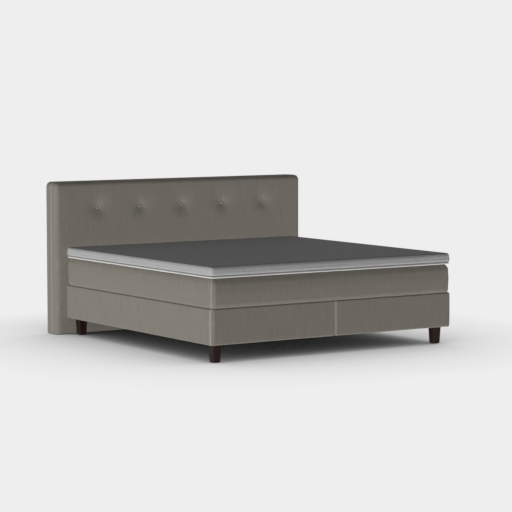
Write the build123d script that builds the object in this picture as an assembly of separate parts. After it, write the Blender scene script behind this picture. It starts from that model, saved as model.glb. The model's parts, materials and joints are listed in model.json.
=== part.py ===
from build123d import *

import os
from math import cos, pi, sin, sqrt

# A box spring bed: two upholstered box bases side by side on tapered feet, one mattress,
# one topper, and a padded headboard that stands on the floor behind them.
# Millimetres. X runs across the bed, Y from the foot end to the headboard, Z up.
# The origin is on the floor, under the middle of the whole bed.

# Whole bed
bed_width = 2000.0
bed_length = 2000.0
base_height = 242.0
mattress_height = 202.0
topper_height = 76.0
base_gap = 2.0
fit_gap = 0.3
overrun = 5.0
shaft_sides = 8
small_edge_steps = 2
large_edge_steps = 3

# Feet, with their studs and felt glides
foot_height = 118.0
foot_top_side = 64.0
foot_bottom_side = 53.0
foot_edge_chamfer = 2.0
foot_inset = 83.0
middle_foot_share = 0.5
glide_height = 4.0
glide_side = 38.0
stud_radius = 4.0
stud_depth_in_foot = 35.0
thread_clearance = 0.1
bolt_clearance = 0.5

# Tee nuts
tee_flange_radius = 11.0
tee_flange_thickness = 1.5
tee_barrel_radius = 5.0
tee_barrel_length = 12.0

# Box bases
base_corner_radius = 28.0
base_inner_radius = 16.0
base_edge_radius = 14.0
cover_thickness = 2.0
hem_width = 18.0
rail_thickness = 22.0
rail_height = 95.0
cross_bar_count = 7
cross_bar_width = 44.0
cross_bar_height = 30.0
corner_block_height = 40.0
base_foam_wall = 35.0
base_foam_pad = 25.0
pocket_pitch = 100.0
pocket_bulge = 9.0
pocket_flank_share = 0.25

# Coupling plates under the seam
coupling_end_distance = 240.0
coupling_plate_width = 52.0
coupling_plate_length = 70.0
coupling_plate_thickness = 3.0
coupling_plate_corner = 6.0
screw_head_radius = 5.0
screw_head_height = 2.5
screw_radius = 2.2
screw_length = 30.0

# Mattress
mattress_inset = 2.0
mattress_corner_radius = 36.0
mattress_edge_draw = 3.0
mattress_top_radius = 30.0
mattress_top_rounding_depth = 42.0
mattress_bottom_radius = 18.0
mattress_border = 36.0
mattress_ticking = 3.0
mattress_bottom_foam_height = 30.0
mattress_top_foam_height = 40.0

# Topper
topper_inset = 2.0
topper_corner_radius = 28.0
topper_edge_radius = 22.0
topper_full_share = 0.42
topper_top_draw = 3.0
topper_panel_thickness = 6.0
topper_border_thickness = 26.0
topper_bottom_cloth = 3.0
piping_radius = 4.0
piping_inset = 10.0
piping_level = 4.5
seam_draw = 6.0

# Headboard
headboard_width = 2156.0
headboard_height = 1116.0
headboard_thickness = 150.0
headboard_clearance = 0.5
headboard_corner_radius = 38.0
headboard_front_radius = 34.0
headboard_back_radius = 10.0
headboard_front_foam = 46.0
headboard_side_foam = 10.0
headboard_board_thickness = 12.0
headboard_hem = 40.0
post_width = 44.0
headboard_rail_width = 44.0
fixing_rail_height = 95.0
fixing_rail_depth = 44.0
upright_width = 60.0
upright_share = 0.5

# Tufting buttons
button_count = 5
button_pitch = 363.0
button_drop = 194.0
button_radius = 12.0
button_rim = 3.0
button_crown = 6.0
button_crown_shares = ((0.0, 1.0), (0.65, 0.75), (1.0, 0.3))
tuft_radius = 120.0
tuft_depth = 15.0
tuft_floor_radius = 13.0
tuft_folds = 12
tuft_step_shares = (0.35, 0.7)
tuft_lip = 0.8
twine_radius = 1.5
twine_clearance = 0.2
twine_knot_radius = 3.5
button_washer_radius = 10.0
button_washer_thickness = 1.5

# Headboard bolts
bolt_radius = 4.0
bolt_head_flats = 13.0
bolt_head_height = 5.3
bolt_end = 3.0
bolt_spacing = 600.0
bolt_washer_radius = 12.0
bolt_washer_thickness = 2.0
key_hole_radius = 18.0

# Levels, from the floor up
base_bottom = glide_height + foot_height
base_top = base_bottom + base_height
mattress_top = base_top + mattress_height
topper_top = mattress_top + topper_height
frame_bottom = base_bottom + cover_thickness
frame_top = frame_bottom + rail_height
springs_top = base_top - cover_thickness - base_foam_pad

# Stations along the bed
overall_length = bed_length + headboard_clearance + headboard_thickness
foot_y = -overall_length / 2
head_y = foot_y + bed_length
middle_y = (foot_y + head_y) / 2
headboard_front = head_y + headboard_clearance
headboard_back = headboard_front + headboard_thickness

# One base
base_width = (bed_width - base_gap) / 2
base_centre_x = -(base_gap + base_width) / 2
content_inset = cover_thickness + fit_gap
rail_inner_inset = content_inset + rail_thickness


def block(low, high):
    """A box between two opposite corners."""
    size = [b - a for a, b in zip(low, high)]
    return Pos(*low) * Box(*size, align=(Align.MIN, Align.MIN, Align.MIN))


def rod(x, y, low, high, radius):
    """An upright shaft or bore between two levels, drawn with a few flat sides."""
    return Pos(x, y, low) * extrude(RegularPolygon(radius, shaft_sides), high - low)


def rod_along_y(x, z, start, end, radius):
    """A shaft or bore along the bed between two stations, drawn with a few flat sides."""
    outline = Plane.XZ * RegularPolygon(radius, shaft_sides)
    return Pos(x, start, z) * extrude(outline, start - end)


def faceted(outlines):
    """A solid with flat facets through matching outlines, each a list of points in the same order."""
    faces = [Face(Wire.make_polygon(outline)) for outline in (outlines[0], outlines[-1])]
    for near, far in zip(outlines, outlines[1:]):
        for corner in range(len(near)):
            facet = [near[corner - 1], near[corner], far[corner], far[corner - 1]]
            faces.append(Face(Wire.make_polygon(facet)))
    return Solid(Shell(faces))


def ringed_form(profile):
    """A form with folds round the Y axis, through rings given by station and radius."""
    angles = [2 * pi * fold / tuft_folds for fold in range(tuft_folds)]
    return faceted([
        [(radius * cos(angle), y, radius * sin(angle)) for angle in angles] for y, radius in profile
    ])


def rounded_edge(radius, steps, deepest=None):
    """Points on a rounded edge, from its side to its face: depth below the face, inset from the side."""
    angles = [pi / 2 * step / steps for step in range(steps + 1)]
    deepest = deepest or radius
    return [(deepest * (1 - sin(angle)), radius * (1 - cos(angle))) for angle in angles]


def mirrored(shape):
    """The same shape on the other side of the bed."""
    return mirror(shape, Plane.YZ)


def save(name, *shapes):
    """Write one node; several solids in it stay separate solids."""
    solids = [solid for shape in shapes for solid in shape.solids()]
    whole = solids[0] if len(solids) == 1 else Compound(children=solids)
    export_step(whole, "parts/" + name + ".step")


# Where the feet, the coupling screws and the headboard bolts are on the left base
outer_foot_x = -(bed_width / 2 - foot_inset)
inner_foot_x = -(base_gap / 2 + foot_inset)
middle_foot_y = foot_y + bed_length * middle_foot_share
foot_places = {
    "outer_foot_end": (outer_foot_x, foot_y + foot_inset),
    "outer_head_end": (outer_foot_x, head_y - foot_inset),
    "inner_middle": (inner_foot_x, middle_foot_y),
    "inner_head_end": (inner_foot_x, head_y - foot_inset),
}
coupling_screw_x = -(base_gap / 2 + content_inset + rail_thickness / 2)
coupling_stations = (foot_y + coupling_end_distance, head_y - coupling_end_distance)
bolt_stations_x = [base_centre_x + side * bolt_spacing / 2 for side in (-1, 1)]
bolt_level = frame_bottom + rail_height / 2


def base_outline(inset):
    """The outline of the left base, rounder at the bed's outer corners than at the seam."""
    outline = Rectangle(base_width - 2 * inset, bed_length - 2 * inset)
    outline = fillet(outline.vertices().sort_by(Axis.X)[:2], base_corner_radius - inset)
    return fillet(outline.vertices().sort_by(Axis.X)[-2:], base_inner_radius - inset)


def base_form(inset, rise):
    """The form of the left base, drawn in by inset at its sides and by rise at its top and bottom."""
    edge = rounded_edge(base_edge_radius - inset, small_edge_steps)
    profile = [(base_bottom + rise + depth, draw) for depth, draw in reversed(edge)]
    profile += [(base_top - rise - depth, draw) for depth, draw in edge]
    sections = [Pos(base_centre_x, middle_y, z) * base_outline(inset + draw) for z, draw in profile]
    return loft(sections, ruled=True)


def base_area(inset, low, high):
    """A plain block over the left base, inset from its sides, between two levels."""
    half_width = base_width / 2 - inset
    return block(
        (base_centre_x - half_width, foot_y + inset, low),
        (base_centre_x + half_width, head_y - inset, high),
    )


def pocket_outline(width, length):
    """The outline of a block of pocketed springs, with a bulge at each pocket of its outer row."""
    half_width = width / 2 - pocket_bulge
    half_length = length / 2 - pocket_bulge
    corners = [
        Vector(-half_width, -half_length),
        Vector(half_width, -half_length),
        Vector(half_width, half_length),
        Vector(-half_width, half_length),
    ]
    outward = [Vector(0, -1), Vector(1, 0), Vector(0, 1), Vector(-1, 0)]
    points = []
    for side, start in enumerate(corners):
        edge = corners[(side + 1) % len(corners)] - start
        count = round(edge.length / pocket_pitch)
        bulge = outward[side] * pocket_bulge
        for pocket in range(count):
            first = start + edge * (pocket / count)
            flank = edge * (pocket_flank_share / count)
            far_flank = edge * ((1 - pocket_flank_share) / count)
            points += [first, first + flank + bulge, first + far_flank + bulge]
    return make_face(Polyline(*points, close=True))


def spring_block(width, length, centre_x, low, high):
    """A block of pocketed springs between two levels."""
    return Pos(centre_x, middle_y, low) * extrude(pocket_outline(width, length), high - low)


def make_base_cover():
    """The fabric border with its hems, open in the middle of its top and its underside."""
    cover = base_form(0, 0) - base_form(cover_thickness, cover_thickness)
    cover -= base_area(hem_width, base_top - cover_thickness, base_top + overrun)
    cover -= base_area(hem_width, base_bottom - overrun, frame_bottom)
    for y in coupling_stations:
        hole = screw_radius + fit_gap
        cover -= rod(coupling_screw_x, y, base_bottom - overrun, frame_bottom + overrun, hole)
    for x in bolt_stations_x:
        hole = bolt_radius + bolt_clearance
        cover -= rod_along_y(x, bolt_level, head_y - content_inset, head_y + overrun, hole)
    return cover


def make_dust_cloth():
    """The cloth that closes the underside, with a hole at each foot's stud."""
    cloth = base_area(hem_width, base_bottom, frame_bottom)
    for x, y in foot_places.values():
        cloth -= rod(x, y, base_bottom - overrun, frame_bottom + overrun, stud_radius + bolt_clearance)
    return cloth


def make_base_rails():
    """The four rails of the frame, cut from the base's own form so that they fit its round corners."""
    ring = base_form(content_inset, cover_thickness) & base_area(0, frame_bottom, frame_top)
    outer_x = base_centre_x - base_width / 2 + rail_inner_inset
    inner_x = base_centre_x + base_width / 2 - rail_inner_inset
    foot_rail_y = foot_y + rail_inner_inset
    head_rail_y = head_y - rail_inner_inset
    outer = ring & block((outer_x - base_width, foot_y, frame_bottom), (outer_x, head_y, frame_top))
    inner = ring & block((inner_x, foot_y, frame_bottom), (inner_x + base_width, head_y, frame_top))
    foot = ring & block((outer_x, foot_y, frame_bottom), (inner_x, foot_rail_y, frame_top))
    head = ring & block((outer_x, head_rail_y, frame_bottom), (inner_x, head_y, frame_top))
    for y in coupling_stations:
        bore = screw_radius + thread_clearance
        inner -= rod(coupling_screw_x, y, frame_bottom - overrun, frame_bottom + screw_length, bore)
    barrel_end = head_rail_y + tee_barrel_length
    bore = tee_barrel_radius + thread_clearance
    for x in bolt_stations_x:
        head -= rod_along_y(x, bolt_level, head_rail_y - overrun, barrel_end, bore)
        head -= rod_along_y(x, bolt_level, barrel_end - overrun, head_y, bolt_radius + bolt_clearance)
    return {"outer_rail": outer, "inner_rail": inner, "foot_rail": foot, "head_rail": head}


def make_cross_bars():
    """Bars between the side rails, flush with their tops, that carry the springs."""
    low_x = base_centre_x - base_width / 2 + rail_inner_inset
    high_x = base_centre_x + base_width / 2 - rail_inner_inset
    first = foot_y + rail_inner_inset
    spacing = (bed_length - 2 * rail_inner_inset) / (cross_bar_count + 1)
    bars = []
    for number in range(1, cross_bar_count + 1):
        y = first + number * spacing
        low = (low_x, y - cross_bar_width / 2, frame_top - cross_bar_height)
        bars.append(block(low, (high_x, y + cross_bar_width / 2, frame_top)))
    return bars


def make_corner_blocks():
    """A block beside the rail at each foot, bored for the tee nut and the stud."""
    half_side = foot_inset - rail_inner_inset
    top = frame_bottom + corner_block_height
    blocks = []
    for x, y in foot_places.values():
        solid = block((x - half_side, y - half_side, frame_bottom), (x + half_side, y + half_side, top))
        solid -= rod(x, y, frame_bottom - overrun, top, stud_radius + bolt_clearance)
        solid -= rod(x, y, top - tee_barrel_length, top + overrun, tee_barrel_radius + thread_clearance)
        blocks.append(solid)
    return blocks


def make_base_foam():
    """The foam pad with its side walls, hollow below for the springs."""
    case = base_form(content_inset, cover_thickness) & base_area(0, frame_top, base_top)
    return case - base_area(content_inset + base_foam_wall, frame_top - overrun, springs_top)


def make_base_springs():
    """The spring unit inside the foam case, on the cross bars."""
    inset = content_inset + base_foam_wall + fit_gap
    width, length = base_width - 2 * inset, bed_length - 2 * inset
    return spring_block(width, length, base_centre_x, frame_top, springs_top)


def tee_nut():
    """A tee nut with its flange on the plane of its seat and its barrel below."""
    nut = rod(0, 0, 0, tee_flange_thickness, tee_flange_radius)
    nut += rod(0, 0, -tee_barrel_length, 0, tee_barrel_radius)
    return nut - rod(0, 0, -tee_barrel_length - overrun, overrun, stud_radius + thread_clearance)


def foot_outline(side, level):
    """A square with cut corners at one level of a foot."""
    far = side / 2
    near = far - foot_edge_chamfer
    quarter = [(far, -near), (far, near)]
    points = []
    for turn in range(4):
        points += quarter
        quarter = [(-y, x) for x, y in quarter]
    return [(x, y, level) for x, y in points]


def make_foot(x, y):
    """One square tapered foot with the hole for its stud."""
    low = foot_outline(foot_bottom_side, glide_height)
    high = foot_outline(foot_top_side, base_bottom)
    stud_end = base_bottom - stud_depth_in_foot
    bore = rod(x, y, stud_end, base_bottom + overrun, stud_radius + thread_clearance)
    return Pos(x, y, 0) * faceted([low, high]) - bore


def make_stud(x, y):
    """The threaded stud from inside a foot up to the top of its tee nut."""
    top = frame_bottom + corner_block_height + tee_flange_thickness
    return rod(x, y, base_bottom - stud_depth_in_foot, top, stud_radius)


def make_glide(x, y):
    """A square felt pad between a foot or a post and the floor."""
    half_side = glide_side / 2
    return block((x - half_side, y - half_side, 0), (x + half_side, y + half_side, glide_height))


def make_coupling_plate(y):
    """A flat steel plate across the seam, bored for one screw into each base."""
    outline = Rectangle(coupling_plate_width, coupling_plate_length)
    outline = chamfer(outline.vertices(), coupling_plate_corner)
    low = base_bottom - coupling_plate_thickness
    plate = Pos(0, y, low) * extrude(outline, coupling_plate_thickness)
    for x in (coupling_screw_x, -coupling_screw_x):
        plate -= rod(x, y, low - overrun, base_bottom + overrun, screw_radius + fit_gap)
    return plate


def make_coupling_screw(x, y):
    """A pan-head screw through the plate and the cover into the rail."""
    seat = base_bottom - coupling_plate_thickness
    tip = frame_bottom + screw_length - coupling_plate_thickness
    head = rod(x, y, seat - screw_head_height, seat, screw_head_radius)
    return head + rod(x, y, seat - screw_head_height, tip, screw_radius)


def cushion_form(width, length, corner_radius, bottom, profile):
    """A block whose sides follow a profile of height above the bottom and inset from the full size."""
    sections = []
    for height, inset in profile:
        radius = max(corner_radius - inset, fit_gap)
        outline = RectangleRounded(width - 2 * inset, length - 2 * inset, radius)
        sections.append(Pos(0, middle_y, bottom + height) * outline)
    return loft(sections, ruled=True)


def mattress_profile():
    """Sides that swell at half height and are drawn in and rounded at both edges."""
    side_shares = (0.3, 0.5, 0.7)
    bottom = rounded_edge(mattress_bottom_radius, large_edge_steps)
    top = rounded_edge(mattress_top_radius, large_edge_steps, mattress_top_rounding_depth)
    profile = [(depth, draw) for depth, draw in reversed(bottom)]
    profile += [(share * mattress_height, 0) for share in side_shares]
    profile += [(mattress_height - depth, draw) for depth, draw in top]
    return [
        (height, draw + mattress_edge_draw * (2 * height / mattress_height - 1) ** 2)
        for height, draw in profile
    ]


mattress_width = bed_width - 2 * mattress_inset
mattress_length = bed_length - 2 * mattress_inset


def mattress_area(low, high, inset):
    """A plain block over the mattress, inset from its fullest outline, between two levels."""
    half_width = mattress_width / 2 - inset
    half_length = mattress_length / 2 - inset
    return block(
        (-half_width, middle_y - half_length, low), (half_width, middle_y + half_length, high)
    )


def make_mattress():
    """The cover with its padded border, and what it holds."""
    low = base_top + mattress_ticking
    high = mattress_top - mattress_ticking
    springs_low = low + mattress_bottom_foam_height
    springs_high = high - mattress_top_foam_height
    profile = mattress_profile()
    form = cushion_form(mattress_width, mattress_length, mattress_corner_radius, base_top, profile)
    core_inset = mattress_border + fit_gap
    width, length = mattress_width - 2 * core_inset, mattress_length - 2 * core_inset
    return {
        "mattress_cover": form - mattress_area(low, high, mattress_border),
        "mattress_bottom_foam": mattress_area(low, springs_low, core_inset),
        "mattress_spring_core": spring_block(width, length, 0, springs_low, springs_high),
        "mattress_top_foam": mattress_area(springs_high, high, core_inset),
    }


topper_width = bed_width - 2 * topper_inset
topper_length = bed_length - 2 * topper_inset


def topper_profile():
    """A border tucked in behind the piping, nipped at the seam above it, full, then rounded over."""
    tuck = piping_inset + piping_radius + fit_gap
    piping_top = piping_level + piping_radius + fit_gap
    seam_height = piping_top + piping_radius / 2
    full_height = topper_height * topper_full_share
    swell_height = (seam_height + full_height) / 2
    profile = [(0, tuck), (piping_top, tuck), (seam_height, seam_draw)]
    profile += [(swell_height, seam_draw / 4), (full_height, 0)]
    for depth, draw in rounded_edge(topper_edge_radius, large_edge_steps):
        profile.append((topper_height - depth, topper_top_draw + draw))
    return profile


def topper_area(low, high, inset):
    """A plain block over the topper, inset from its fullest outline, between two levels."""
    half_width = topper_width / 2 - inset
    half_length = topper_length / 2 - inset
    return block(
        (-half_width, middle_y - half_length, low), (half_width, middle_y + half_length, high)
    )


def make_piping():
    """The cord sewn round the lower edge of the topper."""
    outline = RectangleRounded(
        topper_width - 2 * piping_inset,
        topper_length - 2 * piping_inset,
        topper_corner_radius - piping_inset,
    )
    path = Pos(0, middle_y, mattress_top + piping_level) * outline.face().outer_wire()
    section = path.location_at(0) * RegularPolygon(piping_radius, shaft_sides)
    return sweep(section, path)


def make_topper():
    """The top panel, the border with the bottom cloth, the foam core and the piping."""
    profile = topper_profile()
    form = cushion_form(topper_width, topper_length, topper_corner_radius, mattress_top, profile)
    seam = topper_top - topper_panel_thickness
    floor = mattress_top + topper_bottom_cloth
    border = form & topper_area(mattress_top, seam, 0)
    return {
        "topper_top_panel": form & topper_area(seam, topper_top, 0),
        "topper_border": border - topper_area(floor, seam, topper_border_thickness),
        "topper_core": topper_area(floor, seam, topper_border_thickness + fit_gap),
        "topper_piping": make_piping(),
    }


button_level = headboard_height - button_drop
button_places = [(number - (button_count - 1) / 2) * button_pitch for number in range(button_count)]
board_front = headboard_front + content_inset + headboard_front_foam
board_back = board_front + headboard_board_thickness
frame_back = headboard_back - cover_thickness
frame_half_width = headboard_width / 2 - content_inset - headboard_side_foam
frame_low = glide_height + cover_thickness
frame_high = headboard_height - content_inset - headboard_side_foam
frame_corner_radius = max(headboard_corner_radius - content_inset - headboard_side_foam, fit_gap)


def tuft_cutter():
    """The many-sided hollow that one button presses into the padding, steepest beside the button."""
    reach = tuft_depth + tuft_lip
    run = tuft_radius - tuft_floor_radius
    bend = (run**2 + reach**2) / (2 * reach)
    rings = [(-tuft_lip - overrun, tuft_radius), (-tuft_lip, tuft_radius)]
    for share in tuft_step_shares:
        sink = bend - sqrt(bend**2 - (share * run) ** 2)
        rings.append((sink - tuft_lip, tuft_radius - share * run))
    return ringed_form([*rings, (tuft_depth, tuft_floor_radius)])


def shouldered(half_width, low, high, radius):
    """An upright outline with two round upper corners, drawn in the XZ plane."""
    outline = Pos(0, (low + high) / 2) * Rectangle(2 * half_width, high - low)
    return Plane.XZ * fillet(outline.vertices().sort_by(Axis.Y)[-2:], radius)


def headboard_form(inset):
    """The form of the headboard with its tufts, drawn in all round by inset."""
    front = rounded_edge(headboard_front_radius - inset, large_edge_steps)
    back = rounded_edge(headboard_back_radius - inset, small_edge_steps)
    profile = [(headboard_front + inset + depth, draw) for depth, draw in reversed(front)]
    profile += [(headboard_back - inset - depth, draw) for depth, draw in back]
    sections = []
    for y, draw in profile:
        drawn_in = inset + draw
        outline = shouldered(
            headboard_width / 2 - drawn_in,
            glide_height + inset,
            headboard_height - drawn_in,
            headboard_corner_radius - drawn_in,
        )
        sections.append(Pos(0, y, 0) * outline)
    form = loft(sections, ruled=True)
    cutter = tuft_cutter()
    for x in button_places:
        form -= Pos(x, headboard_front + inset, button_level) * cutter
    return form


def bolt_holes(start, end, radius):
    """One cylinder for each headboard bolt, on both bases."""
    places = bolt_stations_x + [-x for x in bolt_stations_x]
    return [rod_along_y(x, bolt_level, start, end, radius) for x in places]


def twine_holes(start, end):
    """One cylinder for each tufting twine."""
    radius = twine_radius + twine_clearance
    return [rod_along_y(x, button_level, start, end, radius) for x in button_places]


def drilled(solid, start, end):
    """The solid with the holes of the bolts and of the twines through it."""
    for hole in bolt_holes(start, end, bolt_radius + bolt_clearance) + twine_holes(start, end):
        solid -= hole
    return solid


def panel_block(low, high, start, end):
    """The outline that the board and the frame share, filled between two stations."""
    outline = shouldered(frame_half_width, low, high, frame_corner_radius)
    return Pos(0, start, 0) * extrude(outline, start - end)


def headboard_piece(low_x, high_x, low_z, high_z, depth=None):
    """A member of the headboard's frame, against the back of the board."""
    back = frame_back if depth is None else board_back + depth
    return block((low_x, board_back, low_z), (high_x, back, high_z))


def make_headboard():
    """The padded panel: cover, foam, board and back cloth."""
    window_half = headboard_width / 2 - headboard_hem
    window = (
        (-window_half, frame_back, glide_height + headboard_hem),
        (window_half, headboard_back, headboard_height - headboard_hem),
    )
    cover = headboard_form(0) - headboard_form(cover_thickness) - block(*window)
    foam = headboard_form(content_inset) - panel_block(0, frame_high, board_front, headboard_back)
    board = panel_block(frame_low, frame_high, board_front, board_back)
    cloth = block(*window)
    for hole in bolt_holes(frame_back - overrun, headboard_back + overrun, key_hole_radius):
        cloth -= hole
    front = headboard_front - overrun
    return {
        "headboard_cover": drilled(cover, front, board_front),
        "headboard_foam": drilled(foam, front, board_front + overrun),
        "headboard_board": drilled(board, board_front - overrun, board_back + overrun),
        "headboard_back_cloth": cloth,
    }


def make_headboard_frame():
    """Posts, rails and uprights behind the board."""
    side = frame_half_width
    rail_x = side - post_width
    fixing_low = bolt_level - fixing_rail_height / 2
    fixing_high = bolt_level + fixing_rail_height / 2
    top_low = frame_high - headboard_rail_width
    bottom_high = frame_low + headboard_rail_width
    fixing_rail = headboard_piece(-rail_x, rail_x, fixing_low, fixing_high, fixing_rail_depth)
    for hole in bolt_holes(board_back - overrun, headboard_back, bolt_radius + bolt_clearance):
        fixing_rail -= hole
    upright_x = (upright_share * headboard_width - upright_width) / 2
    upright = headboard_piece(
        -upright_x - upright_width, -upright_x, fixing_high, top_low, fixing_rail_depth
    )
    left_post = headboard_piece(-side, -rail_x, frame_low, frame_high)
    left_post &= panel_block(frame_low, frame_high, board_back, frame_back)
    return {
        "headboard_left_post": left_post,
        "headboard_right_post": mirrored(left_post),
        "headboard_top_rail": headboard_piece(-rail_x, rail_x, top_low, frame_high),
        "headboard_bottom_rail": headboard_piece(-rail_x, rail_x, frame_low, bottom_high),
        "headboard_fixing_rail": fixing_rail,
        "headboard_left_upright": upright,
        "headboard_right_upright": mirrored(upright),
    }


def make_button():
    """A covered button with a crowned front, its back on the XZ plane and its front towards -Y."""
    rings = [(0, button_radius)]
    for rise_share, radius_share in button_crown_shares:
        rings.append((-button_rim - button_crown * rise_share, button_radius * radius_share))
    return ringed_form(rings)


def make_bolt(x):
    """A hexagon bolt from behind the fixing rail to the tee nut inside the base."""
    seat = board_back + fixing_rail_depth + bolt_washer_thickness
    end = head_y - rail_inner_inset - tee_flange_thickness - bolt_end
    outline = RegularPolygon(bolt_head_flats / 2, 6, major_radius=False)
    head = Pos(x, seat, bolt_level) * extrude(Plane.XZ * outline, -bolt_head_height)
    return head + rod_along_y(x, bolt_level, end, seat, bolt_radius)


def make_bolt_washer(x):
    """The washer under a bolt's head."""
    seat = board_back + fixing_rail_depth
    hole = bolt_radius + thread_clearance
    washer = rod_along_y(x, bolt_level, seat, seat + bolt_washer_thickness, bolt_washer_radius)
    return washer - rod_along_y(x, bolt_level, seat - overrun, seat + overrun, hole)


def make_twine(x):
    """A tufting twine from its button to the knot behind its washer."""
    start = headboard_front + tuft_depth
    knot = board_back + button_washer_thickness
    twine = rod_along_y(x, button_level, start, knot, twine_radius)
    return twine + rod_along_y(x, button_level, knot, knot + twine_knot_radius, twine_knot_radius)


def make_button_washer(x):
    """The washer that spreads the pull of one twine over the board."""
    back = board_back + button_washer_thickness
    washer = rod_along_y(x, button_level, board_back, back, button_washer_radius)
    hole = twine_radius + twine_clearance
    return washer - rod_along_y(x, button_level, board_back - overrun, board_back + overrun, hole)


os.makedirs("parts", exist_ok=True)

# Both bases: the left one is built, the right one is its mirror image
left_base = {
    "base_cover": [make_base_cover()],
    "base_top_cloth": [base_area(hem_width, base_top - cover_thickness, base_top)],
    "base_dust_cloth": [make_dust_cloth()],
    "base_foam_case": [make_base_foam()],
    "base_spring_unit": [make_base_springs()],
    "base_cross_bars": make_cross_bars(),
    "base_corner_blocks": make_corner_blocks(),
}
for name, rail in make_base_rails().items():
    left_base["base_" + name] = [rail]
for name, shapes in left_base.items():
    save("left_" + name, *shapes)
    save("right_" + name, *[mirrored(shape) for shape in shapes])

# Feet, each a node of its own, with the small parts that they share
all_foot_places = []
for name, (x, y) in foot_places.items():
    foot = make_foot(x, y)
    save("left_foot_" + name, foot)
    save("right_foot_" + name, mirrored(foot))
    all_foot_places += [(x, y), (-x, y)]
block_top = frame_bottom + corner_block_height
post_centre_x = frame_half_width - post_width / 2
post_centre_y = (board_back + frame_back) / 2
pads = all_foot_places + [(-post_centre_x, post_centre_y), (post_centre_x, post_centre_y)]
all_bolt_places = bolt_stations_x + [-x for x in bolt_stations_x]
nut_turn = Rot(90, 0, 0)
nuts = [Pos(x, y, block_top) * tee_nut() for x, y in all_foot_places]
nuts += [Pos(x, head_y - rail_inner_inset, bolt_level) * nut_turn * tee_nut() for x in all_bolt_places]
save("foot_studs", *[make_stud(x, y) for x, y in all_foot_places])
save("floor_glides", *[make_glide(x, y) for x, y in pads])
save("tee_nuts", *nuts)

# What holds the two bases together
coupling_screws = [
    make_coupling_screw(x, y) for x in (coupling_screw_x, -coupling_screw_x) for y in coupling_stations
]
save("coupling_plates", *[make_coupling_plate(y) for y in coupling_stations])
save("coupling_screws", *coupling_screws)

# Mattress, topper and headboard
for group in (make_mattress(), make_topper(), make_headboard(), make_headboard_frame()):
    for name, shape in group.items():
        save(name, shape)
button = make_button()
button_seat = headboard_front + tuft_depth
save("headboard_buttons", *[Pos(x, button_seat, button_level) * button for x in button_places])
save("headboard_button_twines", *[make_twine(x) for x in button_places])
save("headboard_button_washers", *[make_button_washer(x) for x in button_places])
save("headboard_bolts", *[make_bolt(x) for x in all_bolt_places])
save("headboard_bolt_washers", *[make_bolt_washer(x) for x in all_bolt_places])
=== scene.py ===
"""A box spring bed: two upholstered boxes, a mattress, a topper and a tufted headboard.

The sizes of the main forms come from the frame. Lengths are in metres, in the frame's own axes:
X across the bed, Y from the foot end to the headboard, Z up.
"""

import json
import logging
import math
from abc import ABC, abstractmethod
from collections.abc import Callable, Iterable, Iterator
from contextlib import contextmanager
from dataclasses import dataclass
from enum import Enum
from typing import ClassVar

import bmesh
import bpy
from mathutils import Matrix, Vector, noise


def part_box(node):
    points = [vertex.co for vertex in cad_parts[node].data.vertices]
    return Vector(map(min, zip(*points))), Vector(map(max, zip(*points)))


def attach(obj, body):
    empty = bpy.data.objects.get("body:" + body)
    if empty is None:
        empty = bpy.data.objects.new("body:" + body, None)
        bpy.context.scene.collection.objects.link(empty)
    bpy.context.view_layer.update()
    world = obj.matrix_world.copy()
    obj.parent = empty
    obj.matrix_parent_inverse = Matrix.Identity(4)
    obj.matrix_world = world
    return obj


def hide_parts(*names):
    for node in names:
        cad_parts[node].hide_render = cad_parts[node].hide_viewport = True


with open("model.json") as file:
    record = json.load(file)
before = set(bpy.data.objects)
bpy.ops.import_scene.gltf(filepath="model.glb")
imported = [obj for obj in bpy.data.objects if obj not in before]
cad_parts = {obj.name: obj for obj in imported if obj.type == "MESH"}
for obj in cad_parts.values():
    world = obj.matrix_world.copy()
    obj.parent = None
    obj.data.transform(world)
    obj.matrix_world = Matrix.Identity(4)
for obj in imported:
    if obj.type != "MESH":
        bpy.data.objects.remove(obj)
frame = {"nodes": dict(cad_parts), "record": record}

Piece = bpy.types.Object
Socket = bpy.types.NodeSocket
Finishes = dict[str, bpy.types.Material]
Colour = tuple[float, float, float]
Rgba = tuple[float, float, float, float]
Profile = list[tuple[float, float]]
Test = Callable[[Vector], bool]
PairTest = Callable[[Vector, Vector], bool]
Mover = Callable[[Vector, Vector], Vector]

NEAR = 1e-5
WHITE: Rgba = (1.0, 1.0, 1.0, 1.0)

log = logging.getLogger("bed")


class Side(Enum):
    """The side of the bed that a box stands on, as its sign along X."""

    LEFT = -1
    RIGHT = 1

    @property
    def word(self) -> str:
        """The side's name as the nodes spell it."""
        return self.name.lower()


class Axis(Enum):
    """An axis of the frame, as the place of its coordinate."""

    X = 0
    Y = 1
    Z = 2

    def unit(self, length: float = 1.0) -> Vector:
        """A vector of a length along this axis."""
        return Vector([length * (place == self.value) for place in range(3)])


# Modelling helpers


def corners_of(node: str) -> tuple[Vector, Vector]:
    """The lowest and the highest corner of a node of the frame."""
    low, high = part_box(node)
    return Vector(low), Vector(high)


def activate(piece: Piece) -> None:
    """Selects one object alone and makes it the active one.

    Args:
        piece: The object.
    """
    bpy.ops.object.select_all(action="DESELECT")
    piece.select_set(True)
    bpy.context.view_layer.objects.active = piece


@contextmanager
def editing(piece: Piece) -> Iterator[None]:
    """Keeps one object in edit mode, with nothing selected at first.

    Args:
        piece: The object.

    Yields:
        Nothing.
    """
    activate(piece)
    bpy.ops.object.mode_set(mode="EDIT")
    bpy.ops.mesh.select_all(action="DESELECT")
    yield
    bpy.ops.object.mode_set(mode="OBJECT")


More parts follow.
